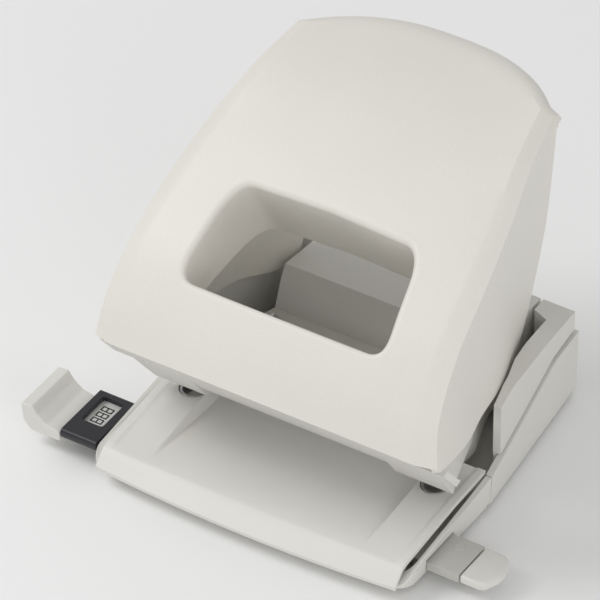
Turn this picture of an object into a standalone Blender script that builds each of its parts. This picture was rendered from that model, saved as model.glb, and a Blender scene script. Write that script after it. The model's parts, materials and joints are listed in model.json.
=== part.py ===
"""Desktop two-hole paper punch with a sail-shaped handle and a sliding paper guide.

Frame: X to the right, Y to the back, Z up. The origin lies on the ground, midway between
the two punched holes. Lengths below are in millimetres and become metres in new_object.
"""
import math

import bmesh
import bpy
from mathutils import Vector

MM = 0.001
GAP = 0.3               # clearance between touching pieces

# Standard hole pattern of a two-hole punch
HOLE_PITCH = 80.0
PIN_X = HOLE_PITCH / 2
PIN_RADIUS = 2.75
PAPER_MARGIN = 12.0     # hole centre to the edge of the paper

# Base
BASE_HALF_WIDTH = 52.0
BASE_FRONT = -36.0
BASE_REAR = 69.0
SEAM_Y = 11.0           # where the front shell meets the chip tray
REAR_HALF_WIDTH = 46.0
MAT_TOP = 1.5           # underside of the shells
SHELL_WALL = 2.0
TABLE_CREASE_Y = -32.0
TABLE_HALF_WIDTH = 49.4
TABLE_THICKNESS = 1.4
TABLE_Z_FRONT = 10.5
TABLE_Z_REAR = 13.6
RAIL_HEIGHT = 0.4
RECESS_HALF_WIDTH = 35.5
RECESS_DEPTH = 4.0

# Upper jaw and housing
JAW_Z = 18.4            # lower face of the upper jaw
CUSP_Y = 28.0
CUSP_Z = 34.0
HOUSING_FRONT = 18.4
HOUSING_REAR = 68.0
HOUSING_REAR_Z = 31.0
HOUSING_BOTTOM = 9.5

# Handle
PIVOT_Y = -18.5
PIVOT_Z = 44.0
AXLE_RADIUS = 1.9
AXLE_HALF_LENGTH = 30.0
BAR_Z = 41.3            # axis of the pressure bar, above the pins
BAR_RADIUS = 2.0
EAR_RADIUS = 3.6
HANDLE_WALL = 2.6
SCREW_RADIUS = 1.2

# Paper guide
GUIDE_FRONT = -23.6
GUIDE_REAR = -9.3
GUIDE_Z = 4.4
GUIDE_THICKNESS = 2.8
GUIDE_ROOF = GUIDE_Z + GUIDE_THICKNESS + 0.8   # roof of the slot, clear of the printed strip
GUIDE_RIGHT = 73.0
STOP_FACE_X = -68.5     # the paper's edge touches here for the widest format


def clear_scene():
    for item in list(bpy.data.objects):
        bpy.data.objects.remove(item, do_unlink=True)


def make_material(name, colour, roughness, metallic=0.0):
    material = bpy.data.materials.new(name)
    material.use_nodes = True
    shader = material.node_tree.nodes["Principled BSDF"]
    shader.inputs["Base Color"].default_value = (*colour, 1.0)
    shader.inputs["Roughness"].default_value = roughness
    shader.inputs["Metallic"].default_value = metallic
    return material


def new_object(name, bm, material, smooth_degrees=35.0):
    """Turn a bmesh in millimetres into a named object in metres."""
    bmesh.ops.scale(bm, vec=(MM, MM, MM), verts=bm.verts)
    bmesh.ops.recalc_face_normals(bm, faces=bm.faces)
    mesh = bpy.data.meshes.new(name)
    bm.to_mesh(mesh)
    bm.free()
    mesh.shade_smooth()
    mesh.set_sharp_from_angle(angle=math.radians(smooth_degrees))
    item = bpy.data.objects.new(name, mesh)
    if material is not None:
        mesh.materials.append(material)
    bpy.context.scene.collection.objects.link(item)
    return item


def as_cutter(item):
    item.hide_render = True
    item.display_type = 'WIRE'
    return item


def combine(item, other, operation):
    """Cut or join with a guide object, which itself is left out of the model."""
    as_cutter(other)
    modifier = item.modifiers.new(operation.lower(), 'BOOLEAN')
    modifier.operation = operation
    modifier.solver = 'EXACT'
    modifier.object = other


def bevel(item, width, segments=2):
    modifier = item.modifiers.new("edges", 'BEVEL')
    modifier.width = width * MM
    modifier.segments = segments
    modifier.limit_method = 'ANGLE'
    modifier.angle_limit = math.radians(40.0)


def loft(name, rings, material, closed=False):
    """Skin equal rings of points; open lofts get flat caps."""
    bm = bmesh.new()
    rows = [[bm.verts.new(point) for point in ring] for ring in rings]
    count = len(rows[0])
    pairs = list(zip(rows, rows[1:]))
    if closed:
        pairs.append((rows[-1], rows[0]))
    for lower, upper in pairs:
        for i in range(count):
            j = (i + 1) % count
            bm.faces.new((lower[i], lower[j], upper[j], upper[i]))
    if not closed:
        bm.faces.new(list(reversed(rows[0])))
        bm.faces.new(rows[-1])
    return new_object(name, bm, material)


def box(name, low, high, material, edge=0.0):
    (x0, y0, z0), (x1, y1, z1) = low, high
    rings = [[(x0, y0, z), (x1, y0, z), (x1, y1, z), (x0, y1, z)] for z in (z0, z1)]
    item = loft(name, rings, material)
    if edge:
        bevel(item, edge)
    return item


def cylinder(name, centre, radius, low, high, axis, material, segments=24):
    """A round bar along X, Y or Z through centre, from low to high along its axis."""
    rings = []
    for along in (low, high):
        ring = []
        for i in range(segments):
            angle = math.tau * i / segments
            a = radius * math.cos(angle)
            b = radius * math.sin(angle)
            ring.append({
                'X': (along, centre[1] + a, centre[2] + b),
                'Y': (centre[0] + a, along, centre[2] + b),
                'Z': (centre[0] + a, centre[1] + b, along),
            }[axis])
        rings.append(ring)
    return loft(name, rings, material)


def tube(name, centre, outer, inner, low, high, axis, material, segments=24):
    """A closed ring: outer and inner walls with flat ends, made as one turned section."""
    rings = []
    for i in range(segments):
        angle = math.tau * i / segments
        ring = []
        for radius, along in ((inner, low), (outer, low), (outer, high), (inner, high)):
            a = radius * math.cos(angle)
            b = radius * math.sin(angle)
            ring.append({
                'X': (along, centre[1] + a, centre[2] + b),
                'Z': (centre[0] + a, centre[1] + b, along),
            }[axis])
        rings.append(ring)
    return loft(name, rings, material, closed=True)


def side_plate(name, outline, x_inner, x_outer, side, material):
    """A plate cut to a (Y, Z) outline; its two faces follow x_inner(y) and x_outer(y)."""
    inner = [(side * x_inner(y), y, z) for y, z in outline]
    outer = [(side * x_outer(y), y, z) for y, z in outline]
    return loft(name, [inner, outer], material)


def blend(a, b, share):
    return tuple(p + (q - p) * share for p, q in zip(a, b))


def curve_point(points, share):
    """A point on a smooth curve through the given points, at share 0 to 1."""
    position = share * (len(points) - 1)
    i = min(int(position), len(points) - 2)
    t = position - i
    before = points[max(i - 1, 0)]
    start = points[i]
    end = points[i + 1]
    after = points[min(i + 2, len(points) - 1)]
    result = []
    for p0, p1, p2, p3 in zip(before, start, end, after):
        result.append(0.5 * (2 * p1 + (p2 - p0) * t + (2 * p0 - 5 * p1 + 4 * p2 - p3) * t ** 2
                             + (3 * p1 - p0 - 3 * p2 + p3) * t ** 3))
    return tuple(result)


def refine(outline, step):
    """Add points along a closed outline."""
    points = []
    for start, end in zip(outline, outline[1:] + outline[:1]):
        parts = max(1, int(math.dist(start, end) / step))
        points += [blend(start, end, i / parts) for i in range(parts)]
    return points


def mix_lines(stations):
    """A straight-line function through (y, value) stations."""
    def value(y):
        if y <= stations[0][0]:
            return stations[0][1]
        for (y0, v0), (y1, v1) in zip(stations, stations[1:]):
            if y <= y1:
                return v0 + (v1 - v0) * (y - y0) / (y1 - y0)
        return stations[-1][1]
    return value


# ---------------------------------------------------------------- materials

SHELL_GREY = (0.73, 0.72, 0.66)


def build_materials():
    return {
        'shell': make_material("shell_plastic", SHELL_GREY, 0.45),
        'handle': make_material("handle_plastic", (0.75, 0.73, 0.67), 0.42),
        'table': make_material("table_paint", (0.76, 0.75, 0.70), 0.40),
        'black': make_material("black_plastic", (0.02, 0.02, 0.023), 0.35),
        'guide': make_material("guide_plastic", (0.58, 0.57, 0.53), 0.40),
        'label': make_material("label_paper", (0.62, 0.62, 0.60), 0.60),
        'steel': make_material("steel", (0.60, 0.60, 0.62), 0.32, 1.0),
        'rubber': make_material("rubber", (0.06, 0.06, 0.06), 0.85),
    }


# ---------------------------------------------------------------- base

def base_half_width(y):
    """Plan half width of the base: straight sides, then a taper behind the seam."""
    return mix_lines([(SEAM_Y, BASE_HALF_WIDTH), (BASE_REAR, REAR_HALF_WIDTH)])(y)


def rim_height(y):
    return mix_lines([(BASE_FRONT, 8.6), (-20.0, 9.6), (SEAM_Y, 13.2), (33.0, 18.6), (53.0, 24.0),
                      (BASE_REAR, 23.6)])(y)


def wall_run(y_front, y_rear, steps):
    return [y_front + (y_rear - y_front) * i / steps for i in range(steps + 1)]


def build_base_shell(mats):
    """Front half of the plastic underbody: floor, two side walls and a front wall, open behind."""
    front_wall = SHELL_WALL + 2.0
    tuck = 4.0
    outline = [(-BASE_HALF_WIDTH, SEAM_Y), (-BASE_HALF_WIDTH, BASE_FRONT + 4.0),
               (-BASE_HALF_WIDTH + 4.0, BASE_FRONT), (0.0, BASE_FRONT - 2.0),
               (BASE_HALF_WIDTH - 4.0, BASE_FRONT), (BASE_HALF_WIDTH, BASE_FRONT + 4.0),
               (BASE_HALF_WIDTH, SEAM_Y)]
    low = [(x * 0.98, y + tuck if y < 0.0 else y, MAT_TOP) for x, y in outline]
    high = [(x, y, rim_height(y) if y > BASE_FRONT + 3.0 else 5.0) for x, y in outline]
    item = loft("base_shell", [low, high], mats['shell'])
    inner = BASE_HALF_WIDTH - SHELL_WALL
    hollow = box("base_hollow", (-inner, BASE_FRONT + front_wall, MAT_TOP + SHELL_WALL),
                 (inner, SEAM_Y + 1.0, 40.0), None)
    combine(item, hollow, 'DIFFERENCE')
    slot = box("guide_slot", (-80.0, GUIDE_FRONT - GAP, GUIDE_Z - GAP),
               (80.0, GUIDE_REAR + GAP, GUIDE_ROOF), None)
    combine(item, slot, 'DIFFERENCE')
    return item


def build_chip_tray(mats):
    """Rear half of the underbody, which slides out behind; its scoop reaches under the dies."""
    ys = wall_run(SEAM_Y + GAP, BASE_REAR, 8)

    def section(y):
        half = base_half_width(y)
        top = rim_height(y)
        low = MAT_TOP
        floor = MAT_TOP + SHELL_WALL
        inner = half - SHELL_WALL
        return [(-half, y, top), (-half * 0.985, y, low), (half * 0.985, y, low), (half, y, top),
                (inner, y, top), (inner, y, floor), (-inner, y, floor), (-inner, y, top)]

    item = loft("chip_tray", [section(y) for y in ys], mats['shell'])
    wall_half = REAR_HALF_WIDTH + 0.2
    wall_points = [(-wall_half, BASE_REAR - SHELL_WALL), (wall_half, BASE_REAR - SHELL_WALL),
                   (REAR_HALF_WIDTH - 6.0, BASE_REAR + 1.6), (-REAR_HALF_WIDTH + 6.0, BASE_REAR + 1.6)]
    wall = loft("tray_rear_wall", [[(x * 0.985, y, MAT_TOP) for x, y in wall_points],
                                   [(x, y, rim_height(y) + 0.15) for x, y in wall_points]], None)
    combine(item, wall, 'UNION')
    floor_top = MAT_TOP + SHELL_WALL + GAP
    joint = SEAM_Y + 1.0
    scoop_top = 5.4
    scoop_outline = [(-8.0, floor_top), (joint, floor_top), (joint, 2.5), (joint + 5.0, 2.5),
                     (joint + 5.0, scoop_top), (-8.0, scoop_top)]
    scoop = side_plate("tray_scoop", scoop_outline, lambda y: -47.0, lambda y: 47.0, 1, None)
    combine(item, scoop, 'UNION')
    hollow = box("tray_hollow", (-45.6, -6.4, floor_top + 1.0), (45.6, SEAM_Y + 8.0, 9.0), None)
    combine(item, hollow, 'DIFFERENCE')
    return item


def build_feet(mats):
    box("base_mat", (-44.0, -28.0, 0.0), (44.0, SEAM_Y - 3.0, MAT_TOP - GAP), mats['rubber'], 0.4)
    for side, name in ((-1, "left"), (1, "right")):
        cylinder(f"rear_foot_{name}", (side * 34.0, 58.0, 0.0), 5.0, 0.0, MAT_TOP - GAP, 'Z',
                 mats['rubber'])


def table_height(x, y):
    """Top surface of the paper table, without its recess."""
    height = mix_lines([(TABLE_CREASE_Y - 5.0, 6.0), (TABLE_CREASE_Y, TABLE_Z_FRONT), (-4.0, 13.2),
                        (PAPER_MARGIN, TABLE_Z_REAR)])(y)
    if abs(x) > 46.9 and y >= TABLE_CREASE_Y:
        height += RAIL_HEIGHT
    return height


def recess_drop(x, y):
    if abs(x) > RECESS_HALF_WIDTH + 0.01:
        return 0.0
    edge = 0.0 if abs(x) > RECESS_HALF_WIDTH - 1.0 else 1.0
    return edge * mix_lines([(-29.0, 0.0), (-2.0, RECESS_DEPTH), (PAPER_MARGIN, RECESS_DEPTH)])(y)


def build_paper_table(mats):
    """Pressed metal table: side rails, a front lip bowed forward, a recess falling to the back."""
    half = TABLE_HALF_WIDTH
    xs = [-half, -47.4, -46.4, -36.0, -35.5, -34.3, -17.0, 0.0, 17.0, 34.3, 35.5, 36.0, 46.4, 47.4, half]
    ys = [TABLE_CREASE_Y - 4.0, TABLE_CREASE_Y, -29.0, -16.0, -4.0, 4.0, PAPER_MARGIN]
    bm = bmesh.new()
    top = []
    bottom = []
    for row, y in enumerate(ys):
        top_row = []
        bottom_row = []
        for x in xs:
            bow = 3.0 * (1.0 - (x / half) ** 2) if row == 0 else 0.0
            height = table_height(x, y) - recess_drop(x, y)
            top_row.append(bm.verts.new((x, y - bow, height)))
            bottom_row.append(bm.verts.new((x, y - bow, height - TABLE_THICKNESS)))
        top.append(top_row)
        bottom.append(bottom_row)
    last_row = len(ys) - 1
    last_col = len(xs) - 1
    for i in range(last_row):
        for j in range(last_col):
            bm.faces.new((top[i][j], top[i][j + 1], top[i + 1][j + 1], top[i + 1][j]))
            bm.faces.new((bottom[i][j], bottom[i + 1][j], bottom[i + 1][j + 1], bottom[i][j + 1]))
        bm.faces.new((top[i][0], top[i + 1][0], bottom[i + 1][0], bottom[i][0]))
        bm.faces.new((top[i][last_col], bottom[i][last_col], bottom[i + 1][last_col], top[i + 1][last_col]))
    for j in range(last_col):
        bm.faces.new((top[0][j], bottom[0][j], bottom[0][j + 1], top[0][j + 1]))
        bm.faces.new((top[last_row][j], top[last_row][j + 1], bottom[last_row][j + 1],
                      bottom[last_row][j]))
    item = new_object("paper_table", bm, mats['table'])
    for side in (-1, 1):
        hole = cylinder(f"die_hole_{side}", (side * PIN_X, 0.0, 0.0), 4.2, 5.0, 20.0, 'Z', None)
        combine(item, hole, 'DIFFERENCE')
    return item


def build_dies(mats):
    """Hardened rings in the table that the pins enter, and the bushes that guide the pins above."""
    for side, name in ((-1, "left"), (1, "right")):
        centre = (side * PIN_X, 0.0, 0.0)
        tube(f"die_bush_{name}", centre, 4.2 - GAP, PIN_RADIUS + GAP, 9.5, 13.1, 'Z', mats['steel'])
        tube(f"pin_guide_{name}", centre, 4.2, PIN_RADIUS + GAP, JAW_Z + 0.3, 25.0, 'Z', mats['steel'])


# ---------------------------------------------------------------- upper frame

# Plan lines of the slit that a flank of the handle swings down through
SLIT_OUTER = mix_lines([(14.0, 48.6), (22.0, 47.2), (30.0, 45.5), (38.0, 43.0), (46.0, 41.8),
                        (59.5, 40.6), (62.0, 35.2), (BASE_REAR, 34.6)])
SLIT_INNER = mix_lines([(22.0, 40.0), (30.0, 37.3), (38.0, 34.7), (BASE_REAR, 33.8)])


def build_side_frames(mats):
    """Two steel plates that carry the axle at the front and stand in the rear body."""
    ear = [(PIVOT_Y + EAR_RADIUS * math.cos(a), PIVOT_Z + EAR_RADIUS * math.sin(a))
           for a in [math.radians(20 + 25 * i) for i in range(11)]]
    outline = ear + [(-14.2, 35.6), (-4.6, 24.4), (8.6, 20.4), (12.9, 16.0), (12.9, 6.0), (30.0, 6.0),
                     (30.0, 21.0), (22.0, 31.0), (6.0, 31.6), (-5.0, 32.2), (-11.0, 38.0)]
    for side, name in ((-1, "left"), (1, "right")):
        item = side_plate(f"side_frame_{name}", outline, lambda y: 26.5, lambda y: 28.5, side,
                          mats['steel'])
        hole = cylinder(f"frame_hole_{name}", (0.0, PIVOT_Y, PIVOT_Z), AXLE_RADIUS + GAP,
                        -60.0, 60.0, 'X', None)
        combine(item, hole, 'DIFFERENCE')


def build_front_skirt(mats):
    """Sloping plastic front under the handle, with a tower round each pin and cheeks behind."""
    strip = [(-22.6, 39.2), (-13.6, 28.7), (-8.4, 22.6), (-6.6, 23.6), (-12.2, 30.2), (-20.8, 40.2)]
    strip_end = [(-22.5, 39.2), (-15.6, 30.8), (-13.4, 31.4), (-20.9, 40.1)]
    item = side_plate("front_skirt", strip, lambda y: -48.4, lambda y: 48.4, 1, mats['shell'])
    tower = [(-14.8, 30.2), (-6.8, JAW_Z + 0.6), (-5.6, JAW_Z), (6.0, JAW_Z), (6.0, 26.0),
             (-6.0, 27.0), (-11.5, 32.0)]
    cheek = [(-14.8, 30.2), (-5.6, 17.8), (-4.4, 17.0), (-2.6, 17.4), (-2.2, 18.9), (16.0, 19.2),
             (16.0, 30.0), (-5.0, 31.4), (-15.0, 34.4)]
    outer = mix_lines([(-15.0, 51.0), (-5.0, 48.8), (6.4, 45.0), (16.0, 42.6)])
    for side, name in ((-1, "left"), (1, "right")):
        body = side_plate(f"tower_{name}", tower, lambda y: 31.5, lambda y: outer(y) - 1.0, side, None)
        combine(item, body, 'UNION')
        plate = side_plate(f"cheek_{name}", cheek, lambda y: outer(y) - 2.2, outer, side, None)
        combine(item, plate, 'UNION')
        tip = side_plate(f"strip_end_{name}", strip_end, lambda y: 46.0, lambda y: 56.2, side, None)
        combine(item, tip, 'UNION')
    for side, name in ((-1, "left"), (1, "right")):
        seat = cylinder(f"guide_seat_{name}", (side * PIN_X, 0.0, 0.0), 4.2 + GAP, 10.0, 40.0, 'Z', None)
        combine(item, seat, 'DIFFERENCE')
    return item


def run_back(name, ys, section, material):
    """Skin four-cornered sections (low x, high x, low z, high z) at stations along Y."""
    rings = []
    for y in ys:
        x_low, x_high, z_low, z_high = section(y)
        rings.append([(x_low, y, z_low), (x_high, y, z_low), (x_high, y, z_high), (x_low, y, z_high)])
    return loft(name, rings, material)


def cover_floor(y):
    """Underside of the rear cover, clear of the tray's rim all the way as the tray slides out."""
    return rim_height(y) + 0.5 if y < 53.0 else rim_height(53.0) + 0.8


def build_housing_sides(mats):
    """Left and right shoulders of the rear body, outside the slits the handle enters."""
    top = mix_lines([(HOUSING_FRONT, 32.4), (CUSP_Y - 2.0, CUSP_Z), (CUSP_Y + 8.0, CUSP_Z - 0.4),
                     (48.0, 33.0), (HOUSING_REAR, HOUSING_REAR_Z)])
    ys = [HOUSING_FRONT, 22.0, 26.0, 30.0, 34.0, 38.0, 42.0, 46.0, 52.9, 53.1, 59.5, 62.0]

    for side, name in ((-1, "left"), (1, "right")):
        def cover(y):
            return (side * SLIT_OUTER(y), side * (base_half_width(y) - 0.9), cover_floor(y), top(y))

        def foot(y):
            return (side * (SLIT_OUTER(y) + 0.1), side * (base_half_width(y) - SHELL_WALL - GAP),
                    HOUSING_BOTTOM, cover_floor(y) + 1.5)

        item = run_back(f"housing_{name}", ys + [HOUSING_REAR], cover, mats['shell'])
        foot_ys = [HOUSING_FRONT + 0.1] + ys[1:] + [BASE_REAR - 3.2]
        combine(item, run_back(f"housing_foot_{name}", foot_ys, foot, None), 'UNION')


def build_rear_block(mats):
    """Centre of the rear body: back wall of the throat, a well floor and a raised block."""
    front = PAPER_MARGIN + 0.6
    rear = BASE_REAR - 3.2
    top = mix_lines([(front, 20.0), (36.0, 20.0), (38.5, 30.0), (40.5, 33.4), (HOUSING_REAR, HOUSING_REAR_Z)])
    bottom = mix_lines([(rear, HOUSING_BOTTOM), (rear + 0.1, cover_floor(BASE_REAR))])
    ys = [front, 22.0, 26.0, 30.0, 34.0, 36.0, 38.5, 40.5, 50.0, rear, rear + 0.1, HOUSING_REAR]

    def section(y):
        return (-SLIT_INNER(y), SLIT_INNER(y), bottom(y), top(y))

    item = run_back("rear_block", ys, section, mats['shell'])
    for side, name in ((-1, "left"), (1, "right")):
        slot = box(f"frame_slot_{name}", (min(side * 26.2, side * 28.8), 0.0, 0.0),
                   (max(side * 26.2, side * 28.8), 30.4, 60.0), None)
        combine(item, slot, 'DIFFERENCE')
    return item


def build_base_plate(mats, block):
    """Steel plate under the rear body, and the screws that pull the body down on it."""
    item = box("base_plate", (-31.0, 13.6, 7.0), (31.0, 62.0, 9.2), mats['steel'])
    for side, name in ((-1, "left"), (1, "right")):
        slot = box(f"plate_slot_{name}", (min(side * 26.2, side * 28.8), 0.0, 0.0),
                   (max(side * 26.2, side * 28.8), 30.4, 60.0), None)
        combine(item, slot, 'DIFFERENCE')
    for name, x, y in (("front_left", -20.0, 20.0), ("front_right", 20.0, 20.0),
                       ("rear_left", -22.0, 54.0), ("rear_right", 22.0, 54.0)):
        centre = (x, y, 0.0)
        screw = cylinder(f"screw_{name}", centre, 3.0, 5.8, 6.7, 'Z', mats['steel'], 16)
        combine(screw, cylinder(f"shank_{name}", centre, SCREW_RADIUS, 6.2, 17.0, 'Z', None, 16), 'UNION')
        hole = cylinder(f"screw_hole_{name}", centre, SCREW_RADIUS + GAP, 0.0, 17.4, 'Z', None, 16)
        combine(item, hole, 'DIFFERENCE')
        combine(block, hole, 'DIFFERENCE')


# ---------------------------------------------------------------- handle

# Side profile of the panel in the symmetry plane, bottom to top
PANEL_CENTRE = [(0.0, -31.0, 47.5), (0.0, -25.8, 59.5), (0.0, -12.9, 73.3), (0.0, 5.3, 85.0),
                (0.0, 23.0, 94.8), (0.0, 45.0, 103.0), (0.0, 70.0, 106.8)]
# Outer edge of the slanting band between panel and flank, and the free edge of the flank
PANEL_RIDGE = [(55.8, -25.5, 43.5), (54.1, -22.0, 57.0), (52.6, -10.5, 71.0), (51.0, 7.0, 82.5),
               (48.6, 24.0, 91.8), (45.2, 40.5, 100.0), (41.9, 58.0, 105.0)]
FLANK_EDGE = [(56.2, -24.0, 42.0), (53.0, -5.0, 37.0), (48.4, 11.0, 34.0), (45.0, 28.0, 32.4),
              (38.0, 50.0, 31.0), (40.4, 57.8, 66.0), (42.4, 57.2, 101.6)]
CROWN_POWER = 2.6
BAND_WIDTH = (6.2, 3.8)     # at the bottom and at the top of the panel
BAND_DEPTH = 2.0
SECTIONS = 15
WINDOW = [(-30.0, 67.0), (30.0, 67.0), (33.8, 70.4), (32.6, 79.0), (29.5, 84.4), (24.0, 86.6),
          (-24.0, 86.6), (-29.5, 84.4), (-32.6, 79.0), (-33.8, 70.4)]
TUNNEL = (0.0, 10.0, -17.0)
ROLL_SIDE = 5.0             # radius of the rolled rear rim at the flanks, and what the middle adds
ROLL_MIDDLE = 6.5
RIM_TURNS = (25.0, 50.0, 70.0)


def crease_point(share):
    """Where the flat of the panel meets the slanting band."""
    ridge = curve_point(PANEL_RIDGE, share)
    before = curve_point(PANEL_RIDGE, max(share - 0.02, 0.0))
    after = curve_point(PANEL_RIDGE, min(share + 0.02, 1.0))
    back = after[1] - before[1]
    rise = after[2] - before[2]
    scale = BAND_DEPTH / math.hypot(back, rise)
    width = BAND_WIDTH[0] + (BAND_WIDTH[1] - BAND_WIDTH[0]) * share
    return (ridge[0] - width, ridge[1] - rise * scale, ridge[2] + back * scale)


def panel_point(share, k):
    """A point of the panel: k is 0 in the middle and 1 at the crease beside the band."""
    centre = curve_point(PANEL_CENTRE, share)
    crease = crease_point(share)
    drop = k ** CROWN_POWER
    return (crease[0] * k, centre[1] + (crease[1] - centre[1]) * drop,
            centre[2] + (crease[2] - centre[2]) * drop)


def handle_section(share, roll):
    """One strip across the handle; roll turns it down over the rear rim, in degrees."""
    ridge = curve_point(PANEL_RIDGE, share)
    edge = curve_point(FLANK_EDGE, share)
    half = [panel_point(share, k) for k in (0.0, 0.35, 0.65, 0.85, 1.0)]
    half += [blend(ridge, edge, s) for s in (0.0, 0.35, 0.7, 1.0)]
    turn = math.radians(roll)
    rolled = []
    for x, y, z in half:
        fade = max(0.6, min(1.0, (z - edge[2]) / (ridge[2] - edge[2])))
        radius = ROLL_SIDE * fade + ROLL_MIDDLE * (1.0 - min(x / ridge[0], 1.0) ** 3)
        rolled.append((x, y + radius * math.sin(turn), z - radius * (1.0 - math.cos(turn))))
    left = [(-x, y, z) for x, y, z in reversed(rolled[1:])]
    return left + rolled


def panel_y(x, z):
    """Where the panel's outer face lies at a given x and height."""
    low = 0.0
    high = 1.0
    for _ in range(30):
        share = (low + high) / 2.0
        point = panel_point(share, min(abs(x) / crease_point(share)[0], 1.0))
        if point[2] < z:
            low = share
        else:
            high = share
    return point[1]


def grown(outline, amount):
    """An outline pushed out from its centre by about the given amount."""
    cx = sum(p[0] for p in outline) / len(outline)
    cz = sum(p[1] for p in outline) / len(outline)
    result = []
    for x, z in outline:
        length = math.hypot(x - cx, z - cz)
        factor = (length + amount) / length
        result.append((cx + (x - cx) * factor, cz + (z - cz) * factor))
    return result


def build_handle(mats):
    """Sail-shaped shell with a grip window whose walls run back and down."""
    bm = bmesh.new()
    rows = []
    for i in range(SECTIONS + 1):
        rows.append([bm.verts.new(point) for point in handle_section(i / SECTIONS, 0.0)])
    for roll in RIM_TURNS:
        rows.append([bm.verts.new(point) for point in handle_section(1.0, roll)])
    for lower, upper in zip(rows, rows[1:]):
        for j in range(len(lower) - 1):
            bm.faces.new((lower[j], lower[j + 1], upper[j + 1], upper[j]))
    item = new_object("handle_shell", bm, mats['handle'], 60.0)
    lowest_middle = item.data.polygons[len(rows[0]) // 2]
    if lowest_middle.normal.y > 0.0:
        item.data.flip_normals()
    solid = item.modifiers.new("wall", 'SOLIDIFY')
    solid.thickness = HANDLE_WALL * MM
    solid.offset = -1.0

    inside = refine(WINDOW, 16.0)
    outside = grown(inside, 3.0)
    smaller = grown(inside, -1.0)

    def ring(points, depth, share):
        return [(x + TUNNEL[0] * share, panel_y(x, z) + depth + TUNNEL[1] * share, z + TUNNEL[2] * share)
                for x, z in points]

    walls = loft("window_walls", [ring(smaller, 1.4, 0.0), ring(outside, 1.4, 0.0),
                                  ring(outside, 1.4, 1.0), ring(smaller, 1.4, 1.0)], None, closed=True)
    combine(item, walls, 'UNION')
    opening = loft("window_opening", [ring(inside, -4.0, -0.3), ring(inside, 1.4, 0.0),
                                      ring(inside, 1.4, 1.3)], None)
    combine(item, opening, 'DIFFERENCE')
    return item


def build_pivot(mats):
    """Axle through the side frames, and the two arms that carry the pressure bar."""
    cylinder("pivot_axle", (0.0, PIVOT_Y, PIVOT_Z), AXLE_RADIUS, -AXLE_HALF_LENGTH, AXLE_HALF_LENGTH,
             'X', mats['steel'])
    cylinder("pressure_bar", (0.0, 0.0, BAR_Z), BAR_RADIUS, -45.0, 45.0, 'X', mats['steel'])
    around_axle = [(PIVOT_Y + EAR_RADIUS * math.cos(a), PIVOT_Z + EAR_RADIUS * math.sin(a))
                   for a in [math.radians(80 + 20 * i) for i in range(10)]]
    around_bar = [(EAR_RADIUS * math.cos(a), BAR_Z + EAR_RADIUS * math.sin(a))
                  for a in [math.radians(-100 + 20 * i) for i in range(10)]]
    outline = around_axle + around_bar
    for side, name in ((-1, "left"), (1, "right")):
        item = side_plate(f"press_arm_{name}", outline, lambda y: 22.6, lambda y: 25.0, side,
                          mats['steel'])
        for y, z, radius in ((PIVOT_Y, PIVOT_Z, AXLE_RADIUS), (0.0, BAR_Z, BAR_RADIUS)):
            hole = cylinder(f"arm_hole_{name}_{radius}", (0.0, y, z), radius + GAP, -60.0, 60.0, 'X', None)
            combine(item, hole, 'DIFFERENCE')


# ---------------------------------------------------------------- punching

PIN_TIP_Z = JAW_Z + 0.4
PIN_TOP_Z = BAR_Z - BAR_RADIUS - GAP
HEAD_Z = PIN_TOP_Z - 2.4
COIL_RADIUS = 3.9
WIRE_RADIUS = 0.4
COIL_TURNS = 5
COIL_STEPS = 12


def build_pins(mats):
    """Pins with heads, a clip below each head and a coil that lifts the pin again."""
    for side, name in ((-1, "left"), (1, "right")):
        centre = (side * PIN_X, 0.0, 0.0)
        pin = cylinder(f"punch_pin_{name}", centre, PIN_RADIUS, PIN_TIP_Z, PIN_TOP_Z, 'Z', mats['steel'])
        head = cylinder(f"pin_head_{name}", centre, 4.4, HEAD_Z, PIN_TOP_Z - 0.001, 'Z', None)
        combine(pin, head, 'UNION')
        tube(f"spring_cap_{name}", centre, 4.5, PIN_RADIUS + GAP, HEAD_Z - 1.1, HEAD_Z - GAP, 'Z',
             mats['steel'])
        build_spring(name, centre, mats)


def build_spring(name, centre, mats):
    low = 25.0 + GAP + WIRE_RADIUS
    high = HEAD_Z - 1.1 - GAP - WIRE_RADIUS
    rings = []
    steps = COIL_TURNS * COIL_STEPS
    for i in range(steps + 1):
        share = i / steps
        angle = math.tau * COIL_TURNS * share
        out = Vector((math.cos(angle), math.sin(angle), 0.0))
        place = Vector(centre) + out * COIL_RADIUS + Vector((0.0, 0.0, low + (high - low) * share))
        ring = []
        for k in range(6):
            turn = math.tau * k / 6
            ring.append(place + out * WIRE_RADIUS * math.cos(turn)
                        + Vector((0.0, 0.0, WIRE_RADIUS * math.sin(turn))))
        rings.append([tuple(p) for p in ring])
    loft(f"pin_spring_{name}", rings, mats['steel'])


# ---------------------------------------------------------------- paper guide

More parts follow.
